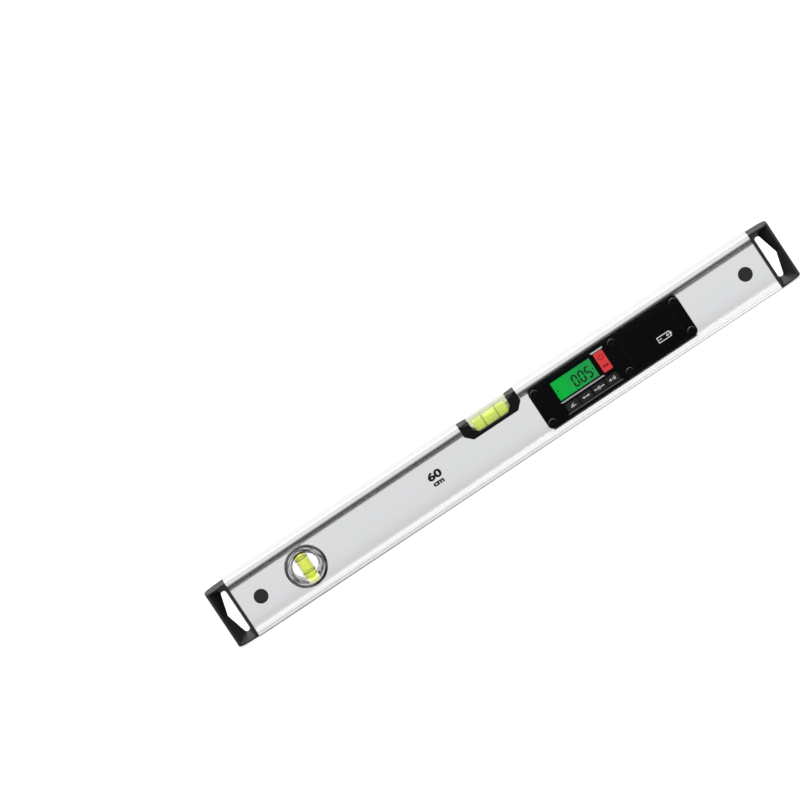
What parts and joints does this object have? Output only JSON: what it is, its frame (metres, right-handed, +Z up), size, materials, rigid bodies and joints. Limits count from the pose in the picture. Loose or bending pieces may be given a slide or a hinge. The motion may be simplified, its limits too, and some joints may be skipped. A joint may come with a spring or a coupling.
{
  "type": "digital spirit level",
  "caption": "Box-section digital spirit level with a horizontal vial, a plumb vial, a measuring module with display and keys, a lift-off battery lid and hand-hole end caps.",
  "frame": {"origin": "middle of the lower measuring face", "axes": "+X along the level towards its module end, +Y away from the display side, +Z up"},
  "size_m": [0.6, 0.025, 0.059],
  "materials": {
    "anodised_aluminium": "satin clear anodised",
    "cap_plastic": "fine moulded texture",
    "pin_plastic": "smooth moulded",
    "ring_clear": "smoke-tinted clear moulding",
    "vial_clear": "clear acrylic",
    "vial_line": "black line ring",
    "vial_liquid": "dyed yellow-green spirit",
    "vial_bubble": "air",
    "holder_plastic": "satin moulded",
    "cover_plastic": "fine moulded texture",
    "seal_rubber": "foam gasket",
    "case_plastic": "moulded",
    "screw_steel": "blackened",
    "window_clear": "clear polished",
    "display_green": "back-lit liquid crystal glass",
    "backlight_white": "diffusing",
    "connector_rubber": "striped elastomer",
    "board_green": "solder mask",
    "chip_black": "moulded epoxy",
    "buzzer_plastic": "moulded",
    "contact_steel": "nickel-plated spring steel",
    "key_charcoal": "silicone",
    "key_red": "silicone",
    "cell_jacket": "printed jacket left plain"
  },
  "bodies": {
    "level": {"battery_bridge": "contact_steel", "battery_contacts": "contact_steel", "battery_lower": "cell_jacket", "battery_upper": "cell_jacket", "body_profile": "anodised_aluminium", "buzzer": "buzzer_plastic", "cap_pin_left": "pin_plastic", "cap_pin_right": "pin_plastic", "circuit_board": "board_green", "display_backlight": "backlight_white", "display_connectors": "connector_rubber", "display_glass": "display_green", "display_window": "window_clear", "end_cap_left": "cap_plastic", "end_cap_right": "cap_plastic", "key_domes": "contact_steel", "main_vial_block": "vial_clear", "main_vial_holder": "holder_plastic", "main_vial_lines": "vial_line", "main_vial_liquid": "vial_liquid", "main_vial_plug": "vial_clear", "module_case": "case_plastic", "module_cover": "cover_plastic", "module_screws": "screw_steel", "module_seal": "seal_rubber", "plumb_ring_front": "ring_clear", "plumb_ring_rear": "ring_clear", "plumb_vial_lines": "vial_line", "plumb_vial_liquid": "vial_liquid", "plumb_vial_plug": "vial_clear", "plumb_vial_tube": "vial_clear", "processor": "chip_black", "tilt_sensor": "chip_black"},
    "mode_key_1_body": {"mode_key_1": "key_charcoal"},
    "mode_key_2_body": {"mode_key_2": "key_charcoal"},
    "mode_key_3_body": {"mode_key_3": "key_charcoal"},
    "mode_key_4_body": {"mode_key_4": "key_charcoal"},
    "power_key_body": {"power_key": "key_red"},
    "battery_lid_body": {"battery_lid": "cover_plastic"},
    "main_vial_bubble_body": {"main_vial_bubble": "vial_bubble"},
    "plumb_vial_bubble_body": {"plumb_vial_bubble": "vial_bubble"}
  },
  "joints": [
    {"name": "mode_key_1_press", "type": "slide", "parent": "level", "child": "mode_key_1_body", "axis": [0, 1, 0], "range_m": [0, 0.0008], "stiffness_N_per_m": 2000},
    {"name": "mode_key_2_press", "type": "slide", "parent": "level", "child": "mode_key_2_body", "axis": [0, 1, 0], "range_m": [0, 0.0008], "stiffness_N_per_m": 2000},
    {"name": "mode_key_3_press", "type": "slide", "parent": "level", "child": "mode_key_3_body", "axis": [0, 1, 0], "range_m": [0, 0.0008], "stiffness_N_per_m": 2000},
    {"name": "mode_key_4_press", "type": "slide", "parent": "level", "child": "mode_key_4_body", "axis": [0, 1, 0], "range_m": [0, 0.0008], "stiffness_N_per_m": 2000},
    {"name": "power_key_press", "type": "slide", "parent": "level", "child": "power_key_body", "axis": [0, 1, 0], "range_m": [0, 0.0008], "stiffness_N_per_m": 2000},
    {"name": "battery_lid_lift", "type": "slide", "parent": "level", "child": "battery_lid_body", "axis": [0, -1, 0], "range_m": [0, 0.03]},
    {"name": "main_bubble_run", "type": "slide", "parent": "level", "child": "main_vial_bubble_body", "axis": [1, 0, 0], "range_m": [-0.0102, 0.0102], "stiffness_N_per_m": 1},
    {"name": "plumb_bubble_run", "type": "slide", "parent": "level", "child": "plumb_vial_bubble_body", "axis": [0, 0, 1], "range_m": [-0.0228, 0], "stiffness_N_per_m": 1, "springref_m": 0.03}
  ]
}
